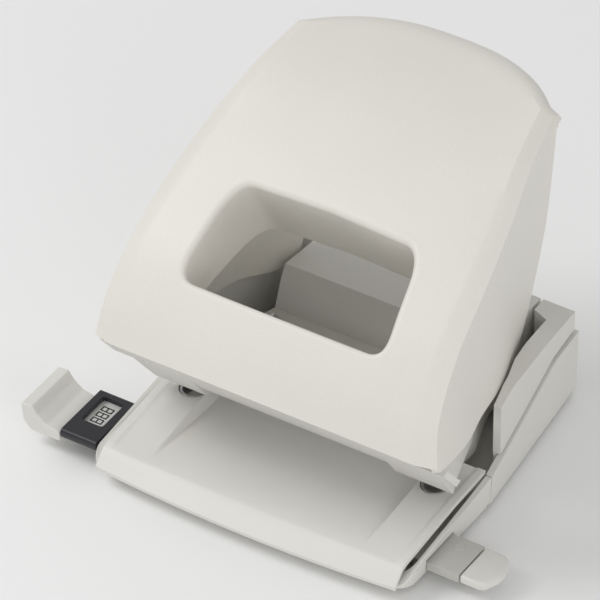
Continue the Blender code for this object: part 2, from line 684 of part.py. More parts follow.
def build_guide(mats):
    """Flat bar through the base with a stop at its left end and a grip cap at its right end."""
    top = GUIDE_Z + GUIDE_THICKNESS
    bar = box("guide_bar", (STOP_FACE_X + 4.0, GUIDE_FRONT, GUIDE_Z), (62.0, GUIDE_REAR, top),
              mats['guide'], 0.4)
    bump = cylinder("detent_bump", (56.0, -13.0, 0.0), 1.5, top - 1.0, top + 0.2, 'Z', None, 16)
    combine(bar, bump, 'UNION')
    cap_outline = [(62.0 + GAP, GUIDE_FRONT), (69.0, GUIDE_FRONT), (GUIDE_RIGHT - 0.8, -20.6),
                   (GUIDE_RIGHT, -16.4), (GUIDE_RIGHT - 0.8, -12.4), (69.0, GUIDE_REAR),
                   (62.0 + GAP, GUIDE_REAR)]
    loft("guide_end_cap", [[(x, y, z) for x, y in cap_outline] for z in (GUIDE_Z, top)], mats['shell'])
    stop_outline = [(-74.6, 4.6), (-77.2, 7.4), (-78.0, 13.2), (-74.2, 13.6), (-72.4, 11.0),
                    (-69.4, 8.6), (STOP_FACE_X + 3.6, 7.8), (STOP_FACE_X + 3.6, 4.6)]
    stop = loft("guide_stop", [[(x, -31.4, z) for x, z in stop_outline],
                               [(x, -12.2, z) for x, z in stop_outline]], mats['shell'])
    bevel(stop, 0.4)
    frame = box("format_window", (-64.4, -32.0, 5.4), (-52.4, -10.6, 9.6), mats['black'], 0.5)
    well = box("window_well", (-61.9, -24.4, top), (-55.0, -13.0, 12.0), None)
    combine(frame, well, 'DIFFERENCE')
    passage = box("window_passage", (-80.0, GUIDE_FRONT - GAP, GUIDE_Z - GAP),
                  (-40.0, GUIDE_REAR + GAP, GUIDE_ROOF), None)
    combine(frame, passage, 'DIFFERENCE')
    box("format_strip", (-62.4, -23.4, top + GAP), (20.0, -12.0, top + GAP + 0.2), mats['label'])


def main():
    clear_scene()
    mats = build_materials()
    build_base_shell(mats)
    build_chip_tray(mats)
    build_feet(mats)
    build_paper_table(mats)
    build_dies(mats)
    build_side_frames(mats)
    build_front_skirt(mats)
    build_housing_sides(mats)
    block = build_rear_block(mats)
    build_base_plate(mats, block)
    build_handle(mats)
    build_pivot(mats)
    build_pins(mats)
    build_guide(mats)


main()
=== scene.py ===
"""Looks of a two-hole desktop paper punch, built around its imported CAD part.

Lengths are written in millimetres and turned into metres when a mesh is made.
X runs to the operator's right, Y away from the operator, Z up, with the origin on
the ground midway between the two punched holes.
"""
import json
import math

import bmesh
import bpy
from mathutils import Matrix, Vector


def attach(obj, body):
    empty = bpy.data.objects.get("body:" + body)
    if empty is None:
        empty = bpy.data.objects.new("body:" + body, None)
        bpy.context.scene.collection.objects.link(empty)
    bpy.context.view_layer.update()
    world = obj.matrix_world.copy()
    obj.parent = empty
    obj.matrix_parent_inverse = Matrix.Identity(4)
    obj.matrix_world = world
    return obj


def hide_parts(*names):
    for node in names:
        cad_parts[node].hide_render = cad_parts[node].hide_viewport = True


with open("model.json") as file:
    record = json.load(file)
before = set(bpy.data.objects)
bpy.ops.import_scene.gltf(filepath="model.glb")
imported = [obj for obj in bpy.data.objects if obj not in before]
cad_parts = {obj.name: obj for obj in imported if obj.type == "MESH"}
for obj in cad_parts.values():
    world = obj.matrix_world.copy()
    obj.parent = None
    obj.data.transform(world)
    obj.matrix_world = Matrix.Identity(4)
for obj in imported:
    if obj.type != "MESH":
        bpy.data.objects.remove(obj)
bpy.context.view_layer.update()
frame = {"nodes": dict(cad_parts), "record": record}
NODES = frame["nodes"]
MM = 0.001


# ---------------------------------------------------------------- camera

CAMERA_DISTANCE = 2000.0
CAMERA_AZIMUTH = math.radians(32.04)
CAMERA_ELEVATION = math.radians(38.71)
CAMERA_LENS = 428.9
CAMERA_TARGET = Vector((0.0, -32.0, -3.5))
CAMERA_SIDE_STEP = 13.3
CAMERA_UP_STEP = 68.2


def build_camera():
    """The photograph's viewpoint: far away, so lines stay almost parallel."""
    a = CAMERA_AZIMUTH
    e = CAMERA_ELEVATION
    back = Vector((math.sin(a) * math.cos(e), -math.cos(a) * math.cos(e), math.sin(e)))
    right = Vector((math.cos(a), math.sin(a), 0.0))
    up = back.cross(right)
    place = CAMERA_TARGET + back * CAMERA_DISTANCE + right * CAMERA_SIDE_STEP
    place = place + up * CAMERA_UP_STEP
    data = bpy.data.cameras.new("camera")
    data.lens = CAMERA_LENS
    data.sensor_width = 36.0
    data.clip_end = 20.0
    camera = bpy.data.objects.new("camera", data)
    camera.location = place * MM
    camera.rotation_euler = back.to_track_quat('Z', 'Y').to_euler()
    bpy.context.scene.collection.objects.link(camera)
    bpy.context.scene.camera = camera


# ---------------------------------------------------------------- curves and numbers

def blend(a, b, share):
    return tuple(p + (q - p) * share for p, q in zip(a, b))


def curve_point(points, share):
    """A point on a smooth curve through the given points, at share 0 to 1."""
    position = share * (len(points) - 1)
    i = max(0, min(int(position), len(points) - 2))
    t = position - i
    before = points[max(i - 1, 0)]
    start = points[i]
    end = points[i + 1]
    after = points[min(i + 2, len(points) - 1)]
    result = []
    for p0, p1, p2, p3 in zip(before, start, end, after):
        result.append(0.5 * (2 * p1 + (p2 - p0) * t + (2 * p0 - 5 * p1 + 4 * p2 - p3) * t ** 2
                             + (3 * p1 - p0 - 3 * p2 + p3) * t ** 3))
    return tuple(result)


def mix_lines(stations):
    """A straight-line function through (y, value) stations."""
    def value(y):
        if y <= stations[0][0]:
            return stations[0][1]
        for (y0, v0), (y1, v1) in zip(stations, stations[1:]):
            if y <= y1:
                return v0 + (v1 - v0) * (y - y0) / (y1 - y0)
        return stations[-1][1]
    return value


def smooth_lines(stations):
    """The same, eased between stations."""
    def value(y):
        if y <= stations[0][0]:
            return stations[0][1]
        for (y0, v0), (y1, v1) in zip(stations, stations[1:]):
            if y <= y1:
                t = (y - y0) / (y1 - y0)
                return v0 + (v1 - v0) * t * t * (3.0 - 2.0 * t)
        return stations[-1][1]
    return value


def run(low, high, steps):
    return [low + (high - low) * i / steps for i in range(steps + 1)]


def round_outline(corners, radii, steps=6):
    """A closed outline with each corner rounded by its own radius."""
    points = []
    count = len(corners)
    for i, corner in enumerate(corners):
        here = Vector(corner)
        before = Vector(corners[i - 1]) - here
        after = Vector(corners[(i + 1) % count]) - here
        radius = radii[i] if isinstance(radii, (list, tuple)) else radii
        if radius <= 0.0:
            points.append(tuple(here))
            continue
        half = before.angle(after) / 2.0
        reach = min(radius / math.tan(half), before.length * 0.49, after.length * 0.49)
        start = here + before.normalized() * reach
        end = here + after.normalized() * reach
        for k in range(steps + 1):
            t = k / steps
            p = start * (1 - t) ** 2 + here * 2 * t * (1 - t) + end * t ** 2
            points.append(tuple(p))
    return points


# ---------------------------------------------------------------- meshes

def finish_mesh(name, bm, body, material, replaced=(), sharp=35.0, keep_normals=False):
    """Turn a mesh drawn in millimetres into a piece that rides on a body."""
    bmesh.ops.scale(bm, vec=(MM, MM, MM), verts=bm.verts)
    if not keep_normals:
        bmesh.ops.recalc_face_normals(bm, faces=bm.faces)
    mesh = bpy.data.meshes.new(name)
    bm.to_mesh(mesh)
    bm.free()
    mesh.shade_smooth()
    mesh.set_sharp_from_angle(angle=math.radians(sharp))
    mesh.materials.append(material)
    piece = bpy.data.objects.new(name, mesh)
    bpy.context.scene.collection.objects.link(piece)
    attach(piece, body)
    if replaced:
        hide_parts(*replaced)
    return piece


def join_rows(bm, lower, upper, closed=True):
    """Fill the strip between two equal rows of vertices."""
    count = len(lower)
    for i in range(count if closed else count - 1):
        j = (i + 1) % count
        bm.faces.new((lower[i], lower[j], upper[j], upper[i]))


def skin(bm, rings, cap=True, closed_ring=True):
    """Skin equal rings of points."""
    rows = [[bm.verts.new(point) for point in ring] for ring in rings]
    for lower, upper in zip(rows, rows[1:]):
        join_rows(bm, lower, upper, closed_ring)
    if cap:
        bm.faces.new(list(reversed(rows[0])))
        bm.faces.new(rows[-1])


def add_bevel(piece, width, segments=3, limit=30.0):
    modifier = piece.modifiers.new("edges", 'BEVEL')
    modifier.width = width * MM
    modifier.segments = segments
    modifier.limit_method = 'ANGLE'
    modifier.angle_limit = math.radians(limit)


def apply_all(piece, sharp=35.0):
    """Bake the piece's modifiers into its mesh and mark its hard edges again."""
    bpy.context.view_layer.update()
    graph = bpy.context.evaluated_depsgraph_get()
    mesh = bpy.data.meshes.new_from_object(piece.evaluated_get(graph))
    mesh.name = piece.name
    piece.modifiers.clear()
    old = piece.data
    piece.data = mesh
    bpy.data.meshes.remove(old)
    mesh.shade_smooth()
    mesh.set_sharp_from_angle(angle=math.radians(sharp))


def plain_cutter(name, rings):
    """A helper solid for a boolean; combine() removes it."""
    bm = bmesh.new()
    skin(bm, rings)
    bmesh.ops.scale(bm, vec=(MM, MM, MM), verts=bm.verts)
    bmesh.ops.recalc_face_normals(bm, faces=bm.faces)
    mesh = bpy.data.meshes.new(name)
    bm.to_mesh(mesh)
    bm.free()
    cutter = bpy.data.objects.new(name, mesh)
    bpy.context.scene.collection.objects.link(cutter)
    return cutter


def combine(piece, others, operation):
    """Boolean with throw-away helper solids; the result is baked and the helpers are removed."""
    for other in others:
        modifier = piece.modifiers.new(operation.lower(), 'BOOLEAN')
        modifier.operation = operation
        modifier.solver = 'EXACT'
        modifier.object = other
    apply_all(piece)
    for other in others:
        bpy.data.objects.remove(other, do_unlink=True)


def box_rings(low, high):
    (x0, y0, z0), (x1, y1, z1) = low, high
    return [[(x0, y0, z), (x1, y0, z), (x1, y1, z), (x0, y1, z)] for z in (z0, z1)]


def rod_rings(centre, radius, low, high, segments=48):
    """The two end rings of an upright rod."""
    rings = []
    for z in (low, high):
        ring = []
        for i in range(segments):
            angle = math.tau * i / segments
            a = radius * math.cos(angle)
            b = radius * math.sin(angle)
            ring.append((centre[0] + a, centre[1] + b, z))
        rings.append(ring)
    return rings


def wall_ring(y, x0, x1, low, high):
    """An upright rectangle across Y."""
    return [(x0, y, low), (x1, y, low), (x1, y, high), (x0, y, high)]


def refined_cad(node, body, material, edge):
    """A finer copy of a CAD solid: flat faces joined up, and hard edges rounded unless edge is 0."""
    sharp = 40.0
    bm = bmesh.new()
    bm.from_mesh(NODES[node].data)
    bmesh.ops.remove_doubles(bm, verts=bm.verts, dist=2e-6)
    bmesh.ops.dissolve_limit(bm, angle_limit=math.radians(0.6), verts=bm.verts, edges=bm.edges)
    bmesh.ops.scale(bm, vec=(1 / MM, 1 / MM, 1 / MM), verts=bm.verts)
    piece = finish_mesh(node + "_look", bm, body, material, (node,), sharp)
    if edge:
        add_bevel(piece, edge, 2, sharp)


# ---------------------------------------------------------------- materials

def new_material(name):
    material = bpy.data.materials.new(name)
    material.use_nodes = True
    return material, material.node_tree.nodes, material.node_tree.links


def moulded(name, colour, roughness, grain, bump, tint=0.03, grain_size=1.0):
    """Moulded plastic: fine spark-eroded grain, faint mottling in colour and gloss."""
    material, nodes, links = new_material(name)
    shader = nodes["Principled BSDF"]
    place = nodes.new('ShaderNodeTexCoord')
    fine = nodes.new('ShaderNodeTexNoise')
    fine.inputs['Scale'].default_value = 2600.0 / grain_size
    fine.inputs['Detail'].default_value = 2.0
    fine.inputs['Roughness'].default_value = 0.6
    broad = nodes.new('ShaderNodeTexNoise')
    broad.inputs['Scale'].default_value = 34.0
    broad.inputs['Detail'].default_value = 4.0
    links.new(place.outputs['Object'], fine.inputs['Vector'])
    links.new(place.outputs['Object'], broad.inputs['Vector'])

    ramp = nodes.new('ShaderNodeValToRGB')
    ramp.color_ramp.elements[0].position = 0.32
    ramp.color_ramp.elements[1].position = 0.68
    low = [c * (1.0 - tint) for c in colour]
    high = [min(1.0, c * (1.0 + tint)) for c in colour]
    ramp.color_ramp.elements[0].color = (*low, 1.0)
    ramp.color_ramp.elements[1].color = (*high, 1.0)
    speck = nodes.new('ShaderNodeMix')
    speck.data_type = 'RGBA'
    speck.blend_type = 'MULTIPLY'
    speck.inputs['Factor'].default_value = grain
    grey = nodes.new('ShaderNodeValToRGB')
    grey.color_ramp.elements[0].position = 0.3
    grey.color_ramp.elements[1].position = 0.7
    grey.color_ramp.elements[0].color = (0.86, 0.86, 0.86, 1.0)
    grey.color_ramp.elements[1].color = (1.0, 1.0, 1.0, 1.0)
    links.new(broad.outputs['Fac'], ramp.inputs['Fac'])
    links.new(fine.outputs['Fac'], grey.inputs['Fac'])
    links.new(ramp.outputs['Color'], speck.inputs['A'])
    links.new(grey.outputs['Color'], speck.inputs['B'])
    links.new(speck.outputs['Result'], shader.inputs['Base Color'])

    gloss = nodes.new('ShaderNodeMapRange')
    gloss.inputs['To Min'].default_value = roughness - 0.05
    gloss.inputs['To Max'].default_value = roughness + 0.06
    links.new(broad.outputs['Fac'], gloss.inputs['Value'])
    links.new(gloss.outputs['Result'], shader.inputs['Roughness'])
    relief = nodes.new('ShaderNodeBump')
    relief.inputs['Strength'].default_value = bump
    relief.inputs['Distance'].default_value = 0.00006
    links.new(fine.outputs['Fac'], relief.inputs['Height'])
    links.new(relief.outputs['Normal'], shader.inputs['Normal'])
    shader.inputs['Specular IOR Level'].default_value = 0.45
    return material


def drawn_steel(name, colour, roughness):
    """Plated steel: streaks along X in gloss and relief, small blotches in colour."""
    material, nodes, links = new_material(name)
    shader = nodes["Principled BSDF"]
    shader.inputs['Metallic'].default_value = 1.0
    place = nodes.new('ShaderNodeTexCoord')
    stretch = nodes.new('ShaderNodeMapping')
    stretch.inputs['Scale'].default_value = (60.0, 1500.0, 1500.0)
    streak = nodes.new('ShaderNodeTexNoise')
    streak.inputs['Scale'].default_value = 1.0
    streak.inputs['Detail'].default_value = 3.0
    blotch = nodes.new('ShaderNodeTexNoise')
    blotch.inputs['Scale'].default_value = 260.0
    blotch.inputs['Detail'].default_value = 3.0
    ramp = nodes.new('ShaderNodeValToRGB')
    ramp.color_ramp.elements[0].position = 0.3
    ramp.color_ramp.elements[1].position = 0.7
    ramp.color_ramp.elements[0].color = (*[c * 0.8 for c in colour], 1.0)
    ramp.color_ramp.elements[1].color = (*colour, 1.0)
    gloss = nodes.new('ShaderNodeMapRange')
    gloss.inputs['To Min'].default_value = roughness - 0.08
    gloss.inputs['To Max'].default_value = roughness + 0.12
    relief = nodes.new('ShaderNodeBump')
    relief.inputs['Strength'].default_value = 0.15
    relief.inputs['Distance'].default_value = 0.00003
    links.new(place.outputs['Object'], stretch.inputs['Vector'])
    links.new(stretch.outputs['Vector'], streak.inputs['Vector'])
    links.new(place.outputs['Object'], blotch.inputs['Vector'])
    links.new(blotch.outputs['Fac'], ramp.inputs['Fac'])
    links.new(ramp.outputs['Color'], shader.inputs['Base Color'])
    links.new(streak.outputs['Fac'], gloss.inputs['Value'])
    links.new(gloss.outputs['Result'], shader.inputs['Roughness'])
    links.new(streak.outputs['Fac'], relief.inputs['Height'])
    links.new(relief.outputs['Normal'], shader.inputs['Normal'])
    return material


HANDLE = moulded("handle_plastic", (0.80, 0.775, 0.715), 0.40, 0.35, 0.55, 0.012)
SHELL = moulded("shell_plastic", (0.745, 0.735, 0.69), 0.46, 0.30, 0.40, 0.015)
TABLE = moulded("table_paint", (0.765, 0.757, 0.718), 0.42, 0.22, 0.22, 0.012, 0.7)
BAR = moulded("guide_plastic", (0.53, 0.525, 0.49), 0.40, 0.25, 0.30, 0.02)
CAP = moulded("cap_plastic", (0.74, 0.73, 0.69), 0.36, 0.20, 0.25, 0.015)
BLACK = moulded("black_plastic", (0.022, 0.022, 0.026), 0.34, 0.30, 0.45, 0.06)
PRINT = moulded("printed_strip", (0.62, 0.62, 0.60), 0.55, 0.15, 0.10, 0.03)
INK = moulded("print_ink", (0.012, 0.012, 0.012), 0.5, 0.10, 0.10, 0.05)
RUBBER = moulded("mat_rubber", (0.055, 0.055, 0.055), 0.78, 0.40, 0.80, 0.08, 1.6)
STEEL = drawn_steel("zinc_steel", (0.62, 0.62, 0.635), 0.32)


# ---------------------------------------------------------------- handle

# Side profile of the panel in the symmetry plane, bottom to top
PANEL_CENTRE = [(0.0, -31.0, 47.5), (0.0, -25.8, 59.5), (0.0, -12.9, 73.3), (0.0, 5.3, 85.0),
                (0.0, 23.0, 94.8), (0.0, 45.0, 103.0), (0.0, 70.0, 106.8)]
# Outer edge of the slanting band between panel and flank, and the free edge of the flank
PANEL_RIDGE = [(55.8, -25.5, 43.5), (54.1, -22.0, 57.0), (52.6, -10.5, 71.0), (51.0, 7.0, 82.5),
               (48.6, 24.0, 91.8), (45.2, 40.5, 100.0), (41.9, 58.0, 105.0)]
FLANK_EDGE = [(56.2, -24.0, 42.0), (53.0, -5.0, 37.0), (48.4, 11.0, 34.0), (45.0, 28.0, 32.4),
              (38.0, 50.0, 31.0), (40.4, 57.8, 66.0), (42.6, 59.0, 101.6)]
CROWN_POWER = 2.6
BAND_WIDTH = (6.2, 3.8)     # at the bottom and at the top of the panel
BAND_DEPTH = 2.0
ROLL_SIDE = 5.0             # radius of the rolled rear rim at the flanks, and what the middle adds
ROLL_MIDDLE = 6.5
ROLL_LEAST = 0.15           # smallest share of the side radius, at the flank's top corner
RIM_TURNS = (14.0, 28.0, 42.0, 56.0, 70.0)
WALL = 2.4
WINDOW_CORNERS = [(-35.6, 67.0), (35.6, 67.0), (31.0, 87.4), (0.0, 88.2), (-31.0, 87.4)]
WINDOW_RADII = [6.0, 6.0, 9.0, 0.0, 9.0]
WINDOW_MIDDLE_Z = 78.0
TUNNEL_RUN = Vector((0.0, 13.0, -24.0))     # at the top of the window
TUNNEL_BOTTOM_SHARE = 0.6                   # of that run, at the bottom of the window
RIM_RADIUS = 1.8
STEPS_ACROSS = 56
STEPS_UP = 64
WINDOW_RINGS = 18           # between the window's edge and the panel's border
RING_CROWDING = 1.25        # packs those rings closer to the window
RIM_STEPS = 6
TUNNEL_STEPS = 4
# Shares of the way from ridge to free edge, crowded where the flank turns in
FLANK_SHARES = (0.02, 0.05, 0.10, 0.18, 0.28, 0.40, 0.52, 0.64, 0.76, 0.88, 1.0)


def crease_point(v):
    """Where the flat of the panel meets the slanting band."""
    ridge = curve_point(PANEL_RIDGE, v)
    before = curve_point(PANEL_RIDGE, max(v - 0.02, 0.0))
    after = curve_point(PANEL_RIDGE, min(v + 0.02, 1.0))
    back = after[1] - before[1]
    rise = after[2] - before[2]
    scale = BAND_DEPTH / math.hypot(back, rise)
    width = BAND_WIDTH[0] + (BAND_WIDTH[1] - BAND_WIDTH[0]) * v
    return Vector((ridge[0] - width, ridge[1] - rise * scale, ridge[2] + back * scale))


def panel_surface(a, v):
    """Outer face of the panel: a is -1 to 1 from crease to crease, v is 0 to 1 upwards."""
    centre = curve_point(PANEL_CENTRE, v)
    crease = crease_point(v)
    drop = min(abs(a), 1.0) ** CROWN_POWER
    return Vector((crease.x * a, centre[1] + (crease.y - centre[1]) * drop,
                   centre[2] + (crease.z - centre[2]) * drop))


def panel_place(x, z):
    """The (a, v) whose point on the panel has this x and this height."""
    low, high = 0.0, 1.0
    for _ in range(34):
        v = (low + high) / 2.0
        a = x / crease_point(v).x
        if panel_surface(a, v).z < z:
            low = v
        else:
            high = v
    return a, v


def rolled(point, turn):
    """A point of the top edge turned down over the rear rim."""
    ridge, edge = PANEL_RIDGE[-1], FLANK_EDGE[-1]
    share = min(abs(point[0]) / ridge[0], 1.0)
    fade = max(ROLL_LEAST, min(1.0, (point[2] - edge[2]) / (ridge[2] - edge[2])))
    radius = ROLL_SIDE * fade + ROLL_MIDDLE * (1.0 - share ** 3)
    angle = math.radians(turn)
    return (point[0], point[1] + radius * math.sin(angle),
            point[2] - radius * (1.0 - math.cos(angle)))


def ray_hit(outline, centre, towards):
    """Where the ray from centre towards a point leaves a closed outline in the plane."""
    dx, dy = towards[0] - centre[0], towards[1] - centre[1]
    best = None
    for p, q in zip(outline, outline[1:] + outline[:1]):
        ex, ey = q[0] - p[0], q[1] - p[1]
        det = dx * -ey + ex * dy
        if abs(det) < 1e-12:
            continue
        fx, fy = p[0] - centre[0], p[1] - centre[1]
        t = (fx * -ey + ex * fy) / det
        s = (dx * fy - dy * fx) / det
        if t > 0.0 and -1e-9 <= s <= 1.0 + 1e-9 and (best is None or t < best):
            best = t
    return (centre[0] + dx * best, centre[1] + dy * best)


def build_handle():
    """One sheet: panel round the window, rolled rim, window walls, side bands and flanks."""
    vs = run(0.0, 1.0, STEPS_UP)
    aa = run(-1.0, 1.0, STEPS_ACROSS)
    border = [(a, 0.0) for a in aa] + [(1.0, v) for v in vs[1:]] \
        + [(a, 1.0) for a in reversed(aa[:-1])] + [(-1.0, v) for v in reversed(vs[1:-1])]
    outline = [panel_place(x, z) for x, z in round_outline(WINDOW_CORNERS, WINDOW_RADII, 16)]
    centre = panel_place(0.0, WINDOW_MIDDLE_Z)
    window = [ray_hit(outline, centre, p) for p in border]

    bm = bmesh.new()
    rows = []
    for k in range(WINDOW_RINGS + 1):
        t = (k / WINDOW_RINGS) ** RING_CROWDING
        rows.append([bm.verts.new(panel_surface(*blend(w, p, t)))
                     for w, p in zip(window, border)])
    count = len(border)

    # Rolled rim and window walls, from the panel's inner border inwards and back
    inner = [panel_surface(*w) for w in window]
    next_ring = [panel_surface(*blend(w, p, 0.02)) for w, p in zip(window, border)]
    middle = panel_surface(*centre)
    back = TUNNEL_RUN.normalized()
    inward = []
    for i in range(count):
        edge = inner[(i + 1) % count] - inner[i - 1]
        normal = edge.cross(inner[i] - next_ring[i]).normalized()
        side = normal.cross(edge).normalized()
        if side.dot(middle - inner[i]) < 0:
            side = -side
        inward.append(side)
    previous = rows[0]
    for k in range(1, RIM_STEPS + 1):
        angle = math.pi / 2 * k / RIM_STEPS
        ring = [bm.verts.new(inner[i] + inward[i] * RIM_RADIUS * math.sin(angle)
                             + back * RIM_RADIUS * (1 - math.cos(angle))) for i in range(count)]
        join_rows(bm, previous, ring)
        previous = ring
    bottom = WINDOW_CORNERS[0][1]
    height = WINDOW_CORNERS[2][1] - bottom
    depths = []
    for point in inner:
        share = (1.0 - TUNNEL_BOTTOM_SHARE) * (point.z - bottom) / height
        depths.append(TUNNEL_RUN.length * (TUNNEL_BOTTOM_SHARE + share))
    for k in range(1, TUNNEL_STEPS + 1):
        ring = []
        for i in range(count):
            down = RIM_RADIUS + (depths[i] - RIM_RADIUS) * k / TUNNEL_STEPS
            ring.append(bm.verts.new(inner[i] + inward[i] * RIM_RADIUS + back * down))
        join_rows(bm, previous, ring)
        previous = ring
    for lower, upper in zip(rows, rows[1:]):
        join_rows(bm, lower, upper)

    # Bands and flanks
    tops = []
    for side in (-1, 1):
        strips = []
        for v in vs:
            ridge = Vector(curve_point(PANEL_RIDGE, v))
            edge = Vector(curve_point(FLANK_EDGE, v))
            line = [crease_point(v), crease_point(v).lerp(ridge, 0.5), ridge]
            line += [ridge.lerp(edge, s) for s in FLANK_SHARES]
            strips.append([bm.verts.new((side * p.x, p.y, p.z)) for p in line])
        tops.append([tuple(vert.co) for vert in strips[-1]])
        for lower, upper in zip(strips, strips[1:]):
            join_rows(bm, lower, upper, False)

    # Rolled rear rim
    edge = list(reversed(tops[0])) + [tuple(panel_surface(a, 1.0)) for a in aa[1:-1]] + tops[1]
    rim = [[rolled(p, turn) for p in edge] for turn in (0.0,) + RIM_TURNS]
    skin(bm, rim, cap=False, closed_ring=False)
    bmesh.ops.remove_doubles(bm, verts=bm.verts, dist=0.02)
    bmesh.ops.recalc_face_normals(bm, faces=bm.faces)
    bm.faces.ensure_lookup_table()
    # The sheet has to face outwards before it gets its thickness
    low_front = Vector((0.0, -25.5, 54.0))
    test = min(bm.faces, key=lambda f: (f.calc_center_median() - low_front).length)
    if test.normal.y > 0.0:
        bmesh.ops.reverse_faces(bm, faces=bm.faces)
    piece = finish_mesh("handle_skin", bm, "handle", HANDLE, ("handle_shell",),
                        60.0, True)
    solid = piece.modifiers.new("wall", 'SOLIDIFY')
    solid.thickness = WALL * MM
    solid.offset = -1.0
    solid.use_even_offset = False
    apply_all(piece, 50.0)
    add_bevel(piece, 0.6, 3, 24.0)


# ---------------------------------------------------------------- jaw under the handle

PIN_X = 40.0
JAW_Z = 18.4
PIN_GUIDE_RADIUS = 4.2
STRIP_HALF = 48.4           # the skirt's straight strip, and how far its end pieces reach
SKIRT_HALF = 56.2
STRIP_END_INNER = 46.0
TOWER_INNER = 31.5
TOWER_INSET = 1.0           # of the tower's outer face from the cheek's
CHEEK_THICKNESS = 2.2


def plate_rings(outline, x_inner, x_outer, side=1):
    """A (y, z) outline drawn out along X between two faces given as functions of y."""
    inner = [(side * x_inner(y), y, z) for y, z in outline]
    outer = [(side * x_outer(y), y, z) for y, z in outline]
    return [inner, outer]


def build_jaw():
    """Sloping skirt with a tower round each pin and a cheek at each end."""
    strip = [(-22.6, 39.2), (-13.6, 28.7), (-8.4, 22.6), (-6.6, 23.6), (-12.2, 30.2), (-20.8, 40.2)]
    strip_end = [(-22.5, 39.2), (-15.6, 30.8), (-13.4, 31.4), (-20.9, 40.1)]
    bm = bmesh.new()
    skin(bm, plate_rings(strip, lambda y: -STRIP_HALF, lambda y: STRIP_HALF))
    piece = finish_mesh("jaw_skirt", bm, "base", SHELL, ("front_skirt",))
    tower = round_outline([(-14.8, 30.2), (-6.8, JAW_Z + 0.6), (-5.6, JAW_Z), (6.0, JAW_Z),
                           (6.0, 26.0), (-6.0, 27.0), (-11.5, 32.0)],
                          [1.0, 1.2, 0.6, 0.6, 0.6, 1.0, 1.0], 4)
    cheek = round_outline([(-14.8, 30.2), (-5.6, 17.8), (-4.4, 17.0), (-2.6, 17.4), (-2.2, 18.9),
                           (16.0, 19.2), (16.0, 30.0), (-5.0, 31.4), (-15.0, 34.4)],
                          [1.0, 1.4, 0.8, 0.8, 0.3, 0.6, 0.6, 1.0, 1.0], 4)
    outer = mix_lines([(-15.0, 51.0), (-5.0, 48.8), (6.4, 45.0), (16.0, 42.6)])
    shapes = (("tower", tower, lambda y: TOWER_INNER, lambda y: outer(y) - TOWER_INSET),
              ("cheek", cheek, lambda y: outer(y) - CHEEK_THICKNESS, outer),
              ("strip_end", strip_end, lambda y: STRIP_END_INNER, lambda y: SKIRT_HALF))
    parts = []
    seats = []
    for side in (-1, 1):
        for name, shape, near, far in shapes:
            parts.append(plain_cutter(f"{name}_{side}", plate_rings(shape, near, far, side)))
    combine(piece, parts, 'UNION')
    for side in (-1, 1):
        seats.append(plain_cutter(f"seat_{side}", rod_rings((side * PIN_X, 0.0),
                                                            PIN_GUIDE_RADIUS + 0.3, 10.0, 40.0)))
    combine(piece, seats, 'DIFFERENCE')
    add_bevel(piece, 0.35, 3, 32.0)


# ---------------------------------------------------------------- rear body

SEAM_Y = 11.0
BASE_REAR = 69.0
BASE_FRONT = -36.0
BASE_HALF = 52.0
REAR_HALF = 46.0
CUSP_Y = 28.0
CUSP_Z = 34.0
HOUSING_FRONT = 18.4
HOUSING_REAR = 68.0
HOUSING_REAR_Z = 31.0
HOUSING_BOTTOM = 9.5
BLOCK_FRONT = 12.6
FOOT_REAR = BASE_REAR - 3.2     # where the rear body stops reaching down into the tray
FRAME_SLOT_X = (26.2, 28.8)
FRAME_SLOT_REAR = 30.4
SLIT_OUTER = mix_lines([(14.0, 48.6), (22.0, 47.2), (30.0, 45.5), (38.0, 43.0), (46.0, 41.8),
                        (59.5, 40.6), (62.0, 35.2), (BASE_REAR, 34.6)])
SLIT_INNER = mix_lines([(22.0, 40.0), (30.0, 37.3), (38.0, 34.7), (BASE_REAR, 33.8)])


def base_half_width(y):
    return mix_lines([(SEAM_Y, BASE_HALF), (BASE_REAR, REAR_HALF)])(y)


def rim_height(y):
    """Top edge of the underbody's side wall."""
    return mix_lines([(BASE_FRONT, 8.6), (-20.0, 9.6), (SEAM_Y, 13.2), (33.0, 18.6), (53.0, 24.0),
                      (BASE_REAR, 23.6)])(y)


def cover_floor(y):
    """Underside of the rear cover, clear of the tray's rim all the way as the tray slides out."""
    return rim_height(y) + 0.5 if y < 53.0 else rim_height(53.0) + 0.8


